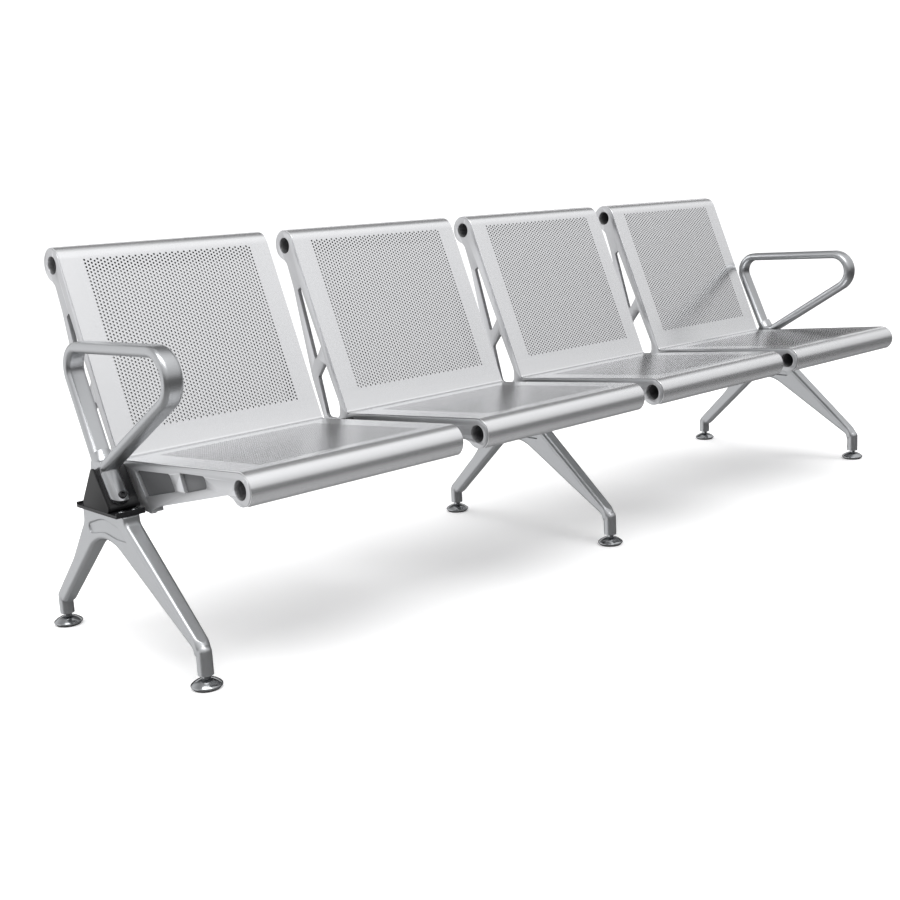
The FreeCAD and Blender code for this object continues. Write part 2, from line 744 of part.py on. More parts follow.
# The armrest's centre line in the side view
arm_tilt = math.radians(arm_top_tilt_deg)
arm_rear = math.radians(arm_rear_lean_deg)
arm_front = math.radians(arm_front_slope_deg)
arm_meet = (beam_y + 4.0, beam_bottom + beam_height - 12.0)


def line_cross(p, d, q, e):
    """Where two lines in the side view meet, each given by a point and a direction."""
    det = d[0] * -e[1] + e[0] * d[1]
    t = ((q[0] - p[0]) * -e[1] + e[0] * (q[1] - p[1])) / det
    return p[0] + d[0] * t, p[1] + d[1] * t


def arm_path():
    top_dir = (-math.cos(arm_tilt), math.sin(arm_tilt))
    rear_dir = (math.sin(arm_rear), math.cos(arm_rear))
    front_dir = (-math.cos(arm_front), math.sin(arm_front))
    top_point = (0.0, arm_top_z)
    rear_corner = line_cross(arm_meet, rear_dir, top_point, top_dir)
    front_corner = line_cross(arm_meet, front_dir, top_point, top_dir)
    corners = [(arm_meet, 0), (rear_corner, arm_rear_radius), (front_corner, arm_front_radius), (arm_meet, 0)]
    edges = []
    last = corners[0][0]
    for i in (1, 2):
        (py, pz), _ = corners[i - 1]
        (cy, cz), radius = corners[i]
        (ny, nz), _ = corners[i + 1]
        ay, az = unit(py - cy, pz - cz)
        by, bz = unit(ny - cy, nz - cz)
        half = math.acos(ay * by + az * bz) / 2
        reach = radius / math.tan(half)
        my, mz = unit(ay + by, az + bz)
        deep = radius / math.sin(half) - radius
        start = (cy + ay * reach, cz + az * reach)
        middle = (cy + my * deep, cz + mz * deep)
        stop = (cy + by * reach, cz + bz * reach)
        edges.append(Part.makeLine(V(0, *last), V(0, *start)))
        edges.append(Part.Arc(V(0, *start), V(0, *middle), V(0, *stop)).toShape())
        last = stop
    edges.append(Part.makeLine(V(0, *last), V(0, *arm_meet)))
    return edges


def arm_section(origin, across):
    """Flat oval section, wide along X, square to the path."""
    flat = arm_width / 2 - arm_thick / 2
    half = arm_thick / 2

    def place(x, n):
        return origin + V(x, 0, 0) + across * n

    return Part.Wire([
        Part.makeLine(place(-flat, half), place(flat, half)),
        Part.Arc(place(flat, half), place(flat + half, 0), place(flat, -half)).toShape(),
        Part.makeLine(place(flat, -half), place(-flat, -half)),
        Part.Arc(place(-flat, -half), place(-flat - half, 0), place(-flat, half)).toShape(),
    ])


def blade_angle():
    return math.atan(beam_slope)


def arm_screw_place():
    z = arm_blade_bottom + arm_width / 2 - 1
    return beam_face_y(z, -1, arm_blade), z


def arm_screw_axis_rod(side, radius, length):
    y, z = arm_screw_place()
    turn = blade_angle()
    inward = V(0, math.cos(turn), -math.sin(turn))
    return rod(radius, side * arm_x, y - inward.y * 12, z - inward.z * 12, length + 12, inward)


def make_arm_column(half):
    """Half-round column down the beam's front face, with a round lower end."""
    turn = blade_angle()
    peak = beam_bottom + beam_height
    start = V(0, beam_face_y(arm_blade_bottom, -1, 0), arm_blade_bottom)
    stop = V(0, beam_face_y(peak + arm_thick, -1, 0), peak + arm_thick)
    outward = V(0, -math.cos(turn), math.sin(turn))
    foot = Part.Wire([
        Part.Arc(start + V(-half, 0, 0), start + outward * arm_blade, start + V(half, 0, 0)).toShape(),
        Part.makeLine(start + V(half, 0, 0), start + V(half, 0, 0) - outward * 3),
        Part.makeLine(start + V(half, 0, 0) - outward * 3, start + V(-half, 0, 0) - outward * 3),
        Part.makeLine(start + V(-half, 0, 0) - outward * 3, start + V(-half, 0, 0)),
    ])
    column = Part.Face(foot).extrude(stop - start)
    up = (stop - start).normalize()
    centre = start + up * half - outward * 5
    keep = Part.makeCylinder(half, arm_blade + 10, centre, outward)
    length = (stop - start).Length
    block = Part.Face(Part.makePolygon([centre + V(-half, 0, 0), centre + V(half, 0, 0),
                                        centre + V(half, 0, 0) + up * length,
                                        centre + V(-half, 0, 0) + up * length, centre + V(-half, 0, 0)]))
    keep = keep.fuse(block.extrude(outward * (arm_blade + 10)))
    return column.common(keep)


def make_armrest():
    """Closed loop of flat oval bar with a saddle on the beam and a blade down its front face."""
    path = arm_path()
    loop = None
    for edge in path:
        start = edge.valueAt(edge.FirstParameter)
        tangent = edge.tangentAt(edge.FirstParameter)
        across = V(0, -tangent.z, tangent.y)
        if edge.Curve.TypeId == "Part::GeomCircle":
            centre = edge.Curve.Center
            axis = edge.Curve.Axis
            sweep = math.degrees(edge.LastParameter - edge.FirstParameter)
            piece = Part.Face(arm_section(start, across)).revolve(centre, axis, sweep)
        else:
            stop = edge.valueAt(edge.LastParameter)
            piece = Part.Face(arm_section(start, across)).extrude(stop - start)
        loop = piece if loop is None else loop.fuse(piece)
    half = arm_width / 2
    column = make_arm_column(half)
    peak = beam_bottom + beam_height
    low_y, low_z = beam_face_y(peak - arm_saddle_drop, 1, arm_saddle_thick), peak - arm_saddle_drop
    saddle = plate([(beam_y - arm_saddle_thick, peak - arm_saddle_drop, 0),
                    (beam_y - arm_thick, peak + arm_thick / 2, 8), (beam_y + arm_thick, peak + arm_thick / 2, 8),
                    (low_y, low_z, 3), (beam_y, low_z, 0)], -half, half)
    saddle = saddle.makeFillet(4, [e for e in saddle.Edges if e.BoundBox.XLength < 0.01 and e.BoundBox.ZMax > peak])
    body = loop.fuse(column).fuse(saddle)
    body = body.cut(beam_prism(0.0, -half - 1, half + 1))
    y, z = arm_screw_place()
    turn = blade_angle()
    inward = V(0, math.cos(turn), -math.sin(turn))
    body = body.cut(rod(arm_screw / 2 + bolt_clearance, 0, y - inward.y * 5, z - inward.z * 5, 40, inward))
    body = body.cut(rod(arm_screw_head / 2 + 0.6, 0, y - inward.y * 9, z - inward.z * 9, 13, inward))
    return body.removeSplitter()


def make_arm_screw():
    """Socket head screw through the blade into the beam."""
    y, z = arm_screw_place()
    turn = blade_angle()
    inward = V(0, math.cos(turn), -math.sin(turn))
    head_out = 4.0
    head = rod(arm_screw_head / 2, 0, y - inward.y * (head_out - 0), z - inward.z * head_out, head_out + 4, inward)
    socket = hexagon(8.0, 0, y - inward.y * (head_out + 1), z - inward.z * (head_out + 1), 5.5, inward)
    shank = rod(arm_screw / 2, 0, y, z, 28, inward)
    return head.cut(socket).fuse(shank).removeSplitter()


def add(name, solids):
    shapes = solids if isinstance(solids, list) else [solids]
    parts[name] = shapes[0] if len(shapes) == 1 else Part.makeCompound(shapes)


add("beam", make_beam())
add("beam_end_cap_left", make_cap(-1))
add("beam_end_cap_right", make_cap(1))

shell = make_shell()
bracket = make_bracket()
studs = make_studs()
tubes = make_tubes()
clamp_plate = make_clamp_plate()
clamp_bolts = make_clamp_bolts()
for n in range(seat_count):
    centre = (n - (seat_count - 1) / 2) * seat_pitch
    name = "seat_%d_" % (n + 1)
    add(name + "shell", along_x(shell, centre))
    add(name + "bracket_left", along_x(bracket, centre - bracket_face))
    add(name + "bracket_right", along_x(mirrored(bracket), centre + bracket_face))
    add(name + "roll_tubes", [along_x(s, centre) for s in tubes])
    pairs = (("shell_studs", studs), ("clamp_plates", [clamp_plate]), ("clamp_bolts", clamp_bolts))
    for label, solids in pairs:
        both = [along_x(s, centre - bracket_face) for s in solids]
        both += [along_x(mirrored(s), centre + bracket_face) for s in solids]
        add(name + label, both)

leg = make_leg()
leg_plate = make_leg_plate()
leg_bolts = make_leg_bolts()
all_leg_bolts = []
for place, x in (("left", -leg_x), ("middle", 0.0), ("right", leg_x)):
    add("leg_" + place, along_x(leg, x))
    add("leg_plate_" + place, along_x(leg_plate, x))
    all_leg_bolts += [along_x(s, x) for s in leg_bolts]
    for end, y in foot_places():
        tag = place + "_" + end
        add("foot_stud_" + tag, along_x(make_stud(y), x))
        add("foot_glide_" + tag, along_x(make_glide(y), x))
        add("foot_pad_" + tag, along_x(make_pad(y), x))

add("leg_bolts", all_leg_bolts)

armrest = make_armrest()
arm_screw_solid = make_arm_screw()
for place, x in (("left", -arm_x), ("right", arm_x)):
    add("armrest_" + place, along_x(armrest, x))
add("armrest_screws", [along_x(arm_screw_solid, -arm_x), along_x(arm_screw_solid, arm_x)])

os.makedirs("parts", exist_ok=True)
for name, shape in parts.items():
    shape.exportStep("parts/%s.step" % name)
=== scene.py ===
import math

import bmesh
import bpy
from bpy.props import FloatProperty, FloatVectorProperty, IntProperty, PointerProperty
from bpy.types import Operator, Panel, PropertyGroup
from mathutils import Matrix, Vector


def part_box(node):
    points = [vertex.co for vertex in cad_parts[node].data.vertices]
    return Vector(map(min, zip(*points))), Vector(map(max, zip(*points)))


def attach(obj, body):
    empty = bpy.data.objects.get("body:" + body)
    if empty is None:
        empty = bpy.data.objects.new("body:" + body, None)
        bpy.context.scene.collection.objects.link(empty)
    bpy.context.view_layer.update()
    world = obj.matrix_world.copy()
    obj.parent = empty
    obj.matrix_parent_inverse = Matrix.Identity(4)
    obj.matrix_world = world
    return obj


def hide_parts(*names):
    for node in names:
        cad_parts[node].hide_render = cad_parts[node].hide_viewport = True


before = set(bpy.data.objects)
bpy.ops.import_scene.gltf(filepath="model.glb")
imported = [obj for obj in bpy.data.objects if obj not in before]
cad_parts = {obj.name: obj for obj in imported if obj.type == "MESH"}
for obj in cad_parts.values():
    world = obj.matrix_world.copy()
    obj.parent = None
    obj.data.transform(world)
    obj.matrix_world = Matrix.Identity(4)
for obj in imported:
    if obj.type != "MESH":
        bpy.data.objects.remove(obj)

bl_info = {
    "name": "Beam Seating",
    "version": (1, 0, 0),
    "blender": (4, 5, 0),
    "location": "View3D > Sidebar > Beam Seating",
    "description": "Dresses a packed beam seating model: perforated seats, castings, feet and a studio",
    "category": "Object",
}

MM = 0.001
BODY = "bench"
SEATS = (1, 2, 3, 4)
SIDES = ("left", "right")
LEG_PLACES = ("left", "middle", "right")
FOOT_ENDS = ("front", "rear")

# Rounded edges of the pieces
WELD_DISTANCE = 0.002 * MM
FLAT_ANGLE = math.radians(0.4)
SHARP_ANGLE = math.radians(30.0)
ROUNDING_STEPS = 2
SMOOTHING_SHARE = 0.5

# Seat sheet
RIM = 0.4 * MM
FOLD_STEPS = 8
SHEET_SHARP_ANGLE = math.radians(32.0)

# Depth of a bracket's pockets from its outer face. The pocket floors at this depth get a dark colour that is
# painted shade.
WEB_DEPTH = 7.5 * MM
WEB_TOLERANCE = 0.3 * MM
FACING_SIDEWAYS = 0.99

# Part of an ankle that is trued, in shares of its radius, and height that is smoothed, in blends
ANKLE_INNER_SHARE = 0.55
ANKLE_OUTER_SHARE = 1.3
ANKLE_SMOOTHED_BLENDS = 3

# Patterns of the finishes
BLOTCH_SCALE = 9.0
BLOTCH_DETAIL = 4.0
GRAIN_DETAIL = 3.0
BUMP_STRENGTH = 0.35
LEAST_ROUGHNESS = 0.02
WEAR_START = 0.52
WEAR_FULL = 0.62
WORN_GAIN = 1.35
WORN_LIFT = 0.05

# Studio. The two blends run over a part of a direction's X and Y.
FLOOR_SIDES = 96
BACKDROP_FINENESS = 4
BACKDROP_SHARE = 0.98
SENSOR_WIDTH_MM = 36.0
VIEW_REACH = 200.0
WHITE = (1.0, 1.0, 1.0, 1.0)
COOL_TINT = 1.01
LEFT_TO_RIGHT = (-0.15, 0.1)
FRONT_TO_REAR = (-0.05, 0.2)


# Geometry shared by the pieces


def show(node, mesh, material, body, x=0.0):
    """Links a mesh as the object that takes a CAD node's place and rides on its body."""
    obj = bpy.data.objects.new("skin_" + node, mesh)
    obj.location.x = x
    bpy.context.scene.collection.objects.link(obj)
    if not mesh.materials:
        mesh.materials.append(material)
    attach(obj, body)
    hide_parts(node)
    return obj


def middle_x(node):
    """Middle of a CAD node along X."""
    low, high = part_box(node)
    return (low.x + high.x) / 2


def linked_holder(mesh):
    """An object that is there only to have modifiers applied to its mesh."""
    holder = bpy.data.objects.new("holder", mesh)
    bpy.context.scene.collection.objects.link(holder)
    return holder


def applied_mesh(holder, name):
    """The holder's mesh with its modifiers applied and no material. The holder is deleted."""
    graph = bpy.context.evaluated_depsgraph_get()
    shaped = holder.evaluated_get(graph)
    mesh = bpy.data.meshes.new_from_object(shaped, preserve_all_data_layers=True, depsgraph=graph)
    bpy.data.objects.remove(holder)
    mesh.materials.clear()
    mesh.name = name
    return mesh


def softened_mesh(node, width):
    """Copy of a CAD node's mesh with flat faces joined and every sharp edge rounded."""
    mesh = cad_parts[node].data.copy()
    mesh.materials.clear()
    work = bmesh.new()
    work.from_mesh(mesh)
    bmesh.ops.remove_doubles(work, verts=work.verts, dist=WELD_DISTANCE)
    bmesh.ops.dissolve_limit(work, angle_limit=FLAT_ANGLE, verts=work.verts, edges=work.edges)
    work.to_mesh(mesh)
    work.free()
    mesh.shade_smooth()
    holder = linked_holder(mesh)
    bevel = holder.modifiers.new("edges", "BEVEL")
    bevel.width = width
    bevel.segments = ROUNDING_STEPS
    bevel.limit_method = "ANGLE"
    bevel.angle_limit = SHARP_ANGLE
    bevel.harden_normals = True
    bevel.miter_outer = "MITER_ARC"
    return applied_mesh(holder, "shape_" + node)


def cast_mesh(node, voxel, rounds):
    """Copy of a CAD node's mesh with the soft, blended edges and corners of a casting."""
    holder = linked_holder(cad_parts[node].data.copy())
    remesh = holder.modifiers.new("even", "REMESH")
    remesh.mode = "VOXEL"
    remesh.voxel_size = voxel
    remesh.use_smooth_shade = True
    smooth = holder.modifiers.new("soft", "SMOOTH")
    smooth.factor = SMOOTHING_SHARE
    smooth.iterations = rounds
    return applied_mesh(holder, "shape_" + node)


def dress(node, body, material, width):
    """Shows a CAD node with rounded edges and a finish."""
    return show(node, softened_mesh(node, width), material, body)


# Finishes


def shader_of(material):
    """The surface shader of a material."""
    return next(node for node in material.node_tree.nodes if node.type == "BSDF_PRINCIPLED")


def surface_finish(name, colour, metallic, roughness, grain_scale, grain_depth, coat=0.0, wear=0.0,
                   stretch=(1.0, 1.0, 1.0), mottle=0.05, rough_spread=0.08, coat_rough=0.1, specular=0.5):
    """A procedural finish: mottled colour, uneven roughness, fine grain and lighter worn edges."""
    material = bpy.data.materials.new(name)
    material.use_nodes = True
    nodes = material.node_tree.nodes
    links = material.node_tree.links
    shader = shader_of(material)
    shader.inputs["Metallic"].default_value = metallic
    shader.inputs["Coat Weight"].default_value = coat
    shader.inputs["Coat Roughness"].default_value = coat_rough
    shader.inputs["Specular IOR Level"].default_value = specular
    place = nodes.new("ShaderNodeTexCoord")
    mapping = nodes.new("ShaderNodeMapping")
    mapping.inputs["Scale"].default_value = stretch
    links.new(place.outputs["Object"], mapping.inputs["Vector"])

    blotch = nodes.new("ShaderNodeTexNoise")
    blotch.inputs["Scale"].default_value = BLOTCH_SCALE
    blotch.inputs["Detail"].default_value = BLOTCH_DETAIL
    links.new(mapping.outputs["Vector"], blotch.inputs["Vector"])
    darker = [c * (1.0 - mottle) for c in colour] + [1.0]
    lighter = [min(1.0, c * (1.0 + mottle)) for c in colour] + [1.0]
    tone = nodes.new("ShaderNodeMix")
    tone.data_type = "RGBA"
    tone.inputs["A"].default_value = darker
    tone.inputs["B"].default_value = lighter
    links.new(blotch.outputs["Fac"], tone.inputs["Factor"])

    geometry = nodes.new("ShaderNodeNewGeometry")
    edge = nodes.new("ShaderNodeMapRange")
    edge.inputs["From Min"].default_value = WEAR_START
    edge.inputs["From Max"].default_value = WEAR_FULL
    edge.inputs["To Max"].default_value = wear
    links.new(geometry.outputs["Pointiness"], edge.inputs["Value"])
    worn = nodes.new("ShaderNodeMix")
    worn.data_type = "RGBA"
    worn.inputs["B"].default_value = [min(1.0, c * WORN_GAIN + WORN_LIFT) for c in colour] + [1.0]
    links.new(edge.outputs["Result"], worn.inputs["Factor"])
    links.new(tone.outputs["Result"], worn.inputs["A"])
    links.new(worn.outputs["Result"], shader.inputs["Base Color"])

    grain = nodes.new("ShaderNodeTexNoise")
    grain.inputs["Scale"].default_value = grain_scale
    grain.inputs["Detail"].default_value = GRAIN_DETAIL
    links.new(mapping.outputs["Vector"], grain.inputs["Vector"])
    spread = nodes.new("ShaderNodeMapRange")
    spread.inputs["To Min"].default_value = max(LEAST_ROUGHNESS, roughness - rough_spread / 2)
    spread.inputs["To Max"].default_value = roughness + rough_spread / 2
    links.new(blotch.outputs["Fac"], spread.inputs["Value"])
    links.new(spread.outputs["Result"], shader.inputs["Roughness"])
    bump = nodes.new("ShaderNodeBump")
    bump.inputs["Strength"].default_value = BUMP_STRENGTH
    bump.inputs["Distance"].default_value = grain_depth
    links.new(grain.outputs["Fac"], bump.inputs["Height"])
    links.new(bump.outputs["Normal"], shader.inputs["Normal"])
    return material


def glow(material, strength):
    """Makes a material give off white light of its own."""
    shader = shader_of(material)
    shader.inputs["Emission Color"].default_value = WHITE
    shader.inputs["Emission Strength"].default_value = strength


finishes = {}


def finish(key):
    """The finish with this name in its set colour, made when it is first asked for."""
    if key not in finishes:
        colour = tuple(getattr(settings().colours, key))
        finishes[key] = surface_finish(colour=colour, **FINISH_RECIPES[key])
    return finishes[key]


FINISH_RECIPES = {
    "shell": dict(name="silver_powder_coat", metallic=0.88, roughness=0.24, grain_scale=900.0,
                  grain_depth=0.03 * MM, coat=0.15, coat_rough=0.14, wear=0.15, mottle=0.015,
                  rough_spread=0.03),
    "hole": dict(name="shaded_hole_wall", metallic=0.0, roughness=0.7, grain_scale=900.0,
                 grain_depth=0.02 * MM, wear=0.1, mottle=0.1),
    "bracket": dict(name="grey_die_casting", metallic=0.8, roughness=0.34, grain_scale=700.0,
                    grain_depth=0.06 * MM, coat=0.15, wear=0.7, mottle=0.06),
    # Pocket floors: a rougher finish, and a dark colour that is painted shade of the recesses
    "web": dict(name="rough_cast_web", metallic=0.5, roughness=0.5, grain_scale=500.0,
                grain_depth=0.08 * MM, wear=0.3, mottle=0.12),
    "leg": dict(name="satin_cast_aluminium", metallic=0.9, roughness=0.35, grain_scale=600.0,
                grain_depth=0.05 * MM, wear=0.4, mottle=0.04, rough_spread=0.05),
    "armrest": dict(name="satin_armrest_aluminium", metallic=0.95, roughness=0.29, grain_scale=900.0,
                    grain_depth=0.03 * MM, wear=0.3, mottle=0.02, rough_spread=0.03,
                    stretch=(1.0, 0.12, 0.12)),
    "tube": dict(name="dull_steel_tube", metallic=0.9, roughness=0.4, grain_scale=800.0,
                 grain_depth=0.03 * MM, wear=0.3, mottle=0.1, stretch=(0.1, 1.0, 1.0)),
    "beam": dict(name="black_powder_coat", metallic=0.0, roughness=0.36, grain_scale=1100.0,
                 grain_depth=0.05 * MM, wear=0.25, mottle=0.1, specular=0.28),
    "plastic": dict(name="black_moulded_plastic", metallic=0.0, roughness=0.42, grain_scale=1500.0,
                    grain_depth=0.04 * MM, wear=0.2, mottle=0.1, specular=0.25),
    "zinc": dict(name="bright_zinc", metallic=1.0, roughness=0.28, grain_scale=900.0,
                 grain_depth=0.02 * MM, wear=0.3, mottle=0.08),
    "dark_screw": dict(name="blackened_screw", metallic=0.8, roughness=0.32, grain_scale=900.0,
                       grain_depth=0.02 * MM, wear=0.4, mottle=0.1),
    "chrome": dict(name="chrome_plating", metallic=1.0, roughness=0.15, grain_scale=300.0,
                   grain_depth=0.01 * MM, wear=0.2, mottle=0.02, rough_spread=0.03),
    "rubber": dict(name="black_rubber", metallic=0.0, roughness=0.75, grain_scale=1400.0,
                   grain_depth=0.06 * MM, wear=0.3, mottle=0.15),
}


# Settings


class ShellSettings(PropertyGroup):
    """Folded seat sheet."""

    width: FloatProperty(name="Width", description="Width of one sheet", default=0.508, unit="LENGTH")
    thickness: FloatProperty(name="Thickness", description="Sheet thickness", default=0.002, unit="LENGTH")
    fold_y: FloatProperty(name="Fold Y", description="Place of the fold along Y",
                          default=0.0964, unit="LENGTH")
    fold_z: FloatProperty(name="Fold Z", description="Height of the fold", default=0.385, unit="LENGTH")
    fold_radius: FloatProperty(name="Fold radius", description="Upper radius of the fold", default=0.009,
                               unit="LENGTH")
    back_lean: FloatProperty(name="Back lean", description="Lean of the back from upright",
                             default=math.radians(22.4), subtype="ANGLE")
    top_eye_z: FloatProperty(name="Top roll height", description="Height of the top roll's centre",
                             default=0.764, unit="LENGTH")
    top_radius: FloatProperty(name="Top roll radius", description="Outer radius of the top roll",
                              default=0.036, unit="LENGTH")
    top_end: FloatProperty(name="Top roll end", description="Angle at which the top roll's sheet ends",
                           default=math.radians(8.0), subtype="ANGLE")
    front_eye_y: FloatProperty(name="Front roll Y", description="Place of the front roll's centre",
                               default=-0.3265, unit="LENGTH")
    front_eye_z: FloatProperty(name="Front roll Z", description="Height of the front roll's centre",
                               default=0.3825, unit="LENGTH")
    front_radius: FloatProperty(name="Front roll radius", description="Outer radius of the front roll",
                                default=0.033, unit="LENGTH")
    front_end: FloatProperty(name="Front roll end", description="Angle at which the front roll's sheet ends",
                             default=math.radians(238.0), subtype="ANGLE")
    hole_diameter: FloatProperty(name="Hole diameter", description="Diameter of a punched hole",
                                 default=0.0046, unit="LENGTH")
    throat_diameter: FloatProperty(name="Throat diameter", description="Diameter at the rear of a hole",
                                   default=0.0014, unit="LENGTH")
    column_pitch: FloatProperty(name="Column pitch", description="Distance between hole columns along X",
                                default=0.00732, unit="LENGTH")
    row_pitch: FloatProperty(name="Row pitch", description="Distance between holes of one column",
                             default=0.00783, unit="LENGTH")
    hole_sides: IntProperty(name="Hole sides", description="Sides of the polygon that draws a hole",
                            default=12, min=6, max=24, step=6)
    back_field_low: FloatProperty(name="Back field start", description="Start of the holes up the back",
                                  default=0.0502, unit="LENGTH")
    back_columns: IntProperty(name="Back columns", description="Hole columns in the back", default=56)
    back_rows: IntProperty(name="Back rows", description="Holes in one column of the back", default=47)
    seat_field_low: FloatProperty(name="Seat field start", description="Start of the holes along the seat",
                                  default=0.046, unit="LENGTH")
    seat_columns: IntProperty(name="Seat columns", description="Hole columns in the seat", default=53)
    seat_rows: IntProperty(name="Seat rows", description="Holes in one column of the seat", default=45)
    arc_steps: IntProperty(name="Arc steps", description="Steps along a roll", default=28, min=8)


class EdgeSettings(PropertyGroup):
    """Widths of the rounded edges."""

    bracket: FloatProperty(name="Bracket", description="Rounding of the bracket castings", default=0.0014,
                           unit="LENGTH")
    leg_voxel: FloatProperty(name="Leg mesh size", description="Fineness of the leg castings' mesh",
                             default=0.0011, unit="LENGTH")
    leg_rounds: IntProperty(name="Leg smoothing", description="Rounds of smoothing of the leg castings",
                            default=3, min=0)
    ankle_radius: FloatProperty(name="Ankle radius", description="Radius of the round ankles",
                                default=0.015, unit="LENGTH")
    ankle_top: FloatProperty(name="Ankle top", description="Height at which the ankles turn into the limbs",
                             default=0.066, unit="LENGTH")
    ankle_blend: FloatProperty(name="Ankle blend", description="Height over which an ankle meets its limb",
                               default=0.010, unit="LENGTH")
    ankle_rounds: IntProperty(name="Ankle smoothing", description="Rounds of smoothing near the ankles",
                              default=14, min=0)
    armrest: FloatProperty(name="Armrest", description="Rounding of the armrests",
                           default=0.0015, unit="LENGTH")
    beam: FloatProperty(name="Beam", description="Rounding of the beam and caps",
                        default=0.0008, unit="LENGTH")
    small: FloatProperty(name="Small", description="Rounding of plates and screws",
                         default=0.0005, unit="LENGTH")


class ColourSettings(PropertyGroup):
    """Colours of the finishes."""

    shell: FloatVectorProperty(name="Shell", description="Powder coat of the seat sheets", size=3,
                               default=(0.78, 0.785, 0.795), min=0.0, max=1.0, subtype="COLOR")
    hole: FloatVectorProperty(name="Hole wall", description="Shaded walls of the punched holes", size=3,
                              default=(0.012, 0.012, 0.013), min=0.0, max=1.0, subtype="COLOR")
    bracket: FloatVectorProperty(name="Bracket", description="Castings of the side brackets", size=3,
                                 default=(0.50, 0.505, 0.515), min=0.0, max=1.0, subtype="COLOR")
    # The pocket floor colour is painted shade of the recesses, darker than the casting itself
    web: FloatVectorProperty(name="Pocket floor", description="Rough floors of the brackets' pockets", size=3,
                             default=(0.13, 0.132, 0.136), min=0.0, max=1.0, subtype="COLOR")
    leg: FloatVectorProperty(name="Leg", description="Castings of the legs", size=3,
                             default=(0.50, 0.51, 0.52), min=0.0, max=1.0, subtype="COLOR")
    armrest: FloatVectorProperty(name="Armrest", description="Satin metal of the armrests", size=3,
                                 default=(0.50, 0.51, 0.52), min=0.0, max=1.0, subtype="COLOR")
    tube: FloatVectorProperty(name="Roll tube", description="Steel tubes inside the rolls", size=3,
                              default=(0.30, 0.30, 0.31), min=0.0, max=1.0, subtype="COLOR")
    beam: FloatVectorProperty(name="Beam", description="Black coat of the beam and its plates", size=3,
                              default=(0.008, 0.008, 0.009), min=0.0, max=1.0, subtype="COLOR")
    plastic: FloatVectorProperty(name="End cap", description="Black plastic of the end caps", size=3,
                                 default=(0.006, 0.006, 0.0065), min=0.0, max=1.0, subtype="COLOR")
    zinc: FloatVectorProperty(name="Zinc", description="Plating of the hidden bolts and studs", size=3,
                              default=(0.58, 0.59, 0.60), min=0.0, max=1.0, subtype="COLOR")
    dark_screw: FloatVectorProperty(name="Armrest screw", description="Blackened armrest screws", size=3,
                                    default=(0.05, 0.05, 0.052), min=0.0, max=1.0, subtype="COLOR")
    chrome: FloatVectorProperty(name="Chrome", description="Plating of the feet and the leg bolts", size=3,
                                default=(0.42, 0.43, 0.44), min=0.0, max=1.0, subtype="COLOR")
    rubber: FloatVectorProperty(name="Rubber", description="Soles of the feet", size=3,
                                default=(0.016, 0.016, 0.016), min=0.0, max=1.0, subtype="COLOR")


class StageSettings(PropertyGroup):
    """Camera, floor and lights."""

    camera_place: FloatVectorProperty(name="Camera place", description="Place of the camera", size=3,
                                      default=(-2.29408, -2.1307, 0.88396), subtype="TRANSLATION")
    camera_yaw: FloatProperty(name="Yaw", description="Turn from +Y towards +X",
                              default=math.radians(42.802), subtype="ANGLE")
    camera_pitch: FloatProperty(name="Pitch", description="Tilt above the horizon",
                                default=math.radians(-11.955), subtype="ANGLE")
    camera_roll: FloatProperty(name="Roll", description="Roll about the view axis",
                               default=math.radians(-2.929), subtype="ANGLE")
    lens: FloatProperty(name="Lens", description="Focal length in millimetres on a 36 mm sensor",
                        default=50.06)
    floor_radius: FloatProperty(name="Floor radius", description="Radius of the floor", default=110.0,
                                unit="LENGTH")
    floor_glow: FloatProperty(name="Floor glow", description="Light that the white floor gives by itself",
                              default=0.28, min=0.0)
    dark_level: FloatProperty(name="Dark level", description="Brightness of the darkest surroundings",
                              default=0.08, min=0.0, max=1.0, subtype="FACTOR")
    sky_power: FloatProperty(name="Sky light", description="Strength of the soft light from above",
                             default=1.1)
    sky_spread: FloatProperty(name="Sky spread", description="Angle over which the soft light spreads",
                              default=math.radians(80), subtype="ANGLE")
    sky_turn: FloatVectorProperty(name="Sky turn", description="Turn of the soft light from straight down",
                                  size=3, default=(math.radians(18), math.radians(-12), 0.0),
                                  subtype="EULER")
    key_power: FloatProperty(name="Key light", description="Power of the key light", default=60.0)
    key_place: FloatVectorProperty(name="Key light place", description="Place of the key light", size=3,
                                   default=(-1.6, -1.4, 3.6), subtype="TRANSLATION")
    key_target: FloatVectorProperty(name="Key light target", description="Point the key light faces",
                                    size=3, default=(0.0, 0.0, 0.3), subtype="TRANSLATION")
    key_size: FloatVectorProperty(name="Key light size", description="Length and width of the key light",
                                  size=2, default=(3.6, 1.6), unit="LENGTH")
    top_power: FloatProperty(name="Top light", description="Power of the top light", default=60.0)
    top_place: FloatVectorProperty(name="Top light place", description="Place of the top light", size=3,
                                   default=(0.3, 0.9, 3.4), subtype="TRANSLATION")
    top_target: FloatVectorProperty(name="Top light target", description="Point the top light faces",
                                    size=3, default=(0.0, 0.0, 0.4), subtype="TRANSLATION")
    top_size: FloatVectorProperty(name="Top light size", description="Length and width of the top light",
                                  size=2, default=(5.0, 1.2), unit="LENGTH")


class BeamSeatingSettings(PropertyGroup):
    """All the settings of the model."""

    shell: PointerProperty(type=ShellSettings, name="Shell", description="Seat sheets")
    edges: PointerProperty(type=EdgeSettings, name="Edges", description="Rounded edges")
    colours: PointerProperty(type=ColourSettings, name="Colours", description="Colours of the finishes")
    stage: PointerProperty(type=StageSettings, name="Stage", description="Camera and studio")


def settings():
    """The settings of the scene that is open."""
    return bpy.context.scene.beam_seating


# Seat shell


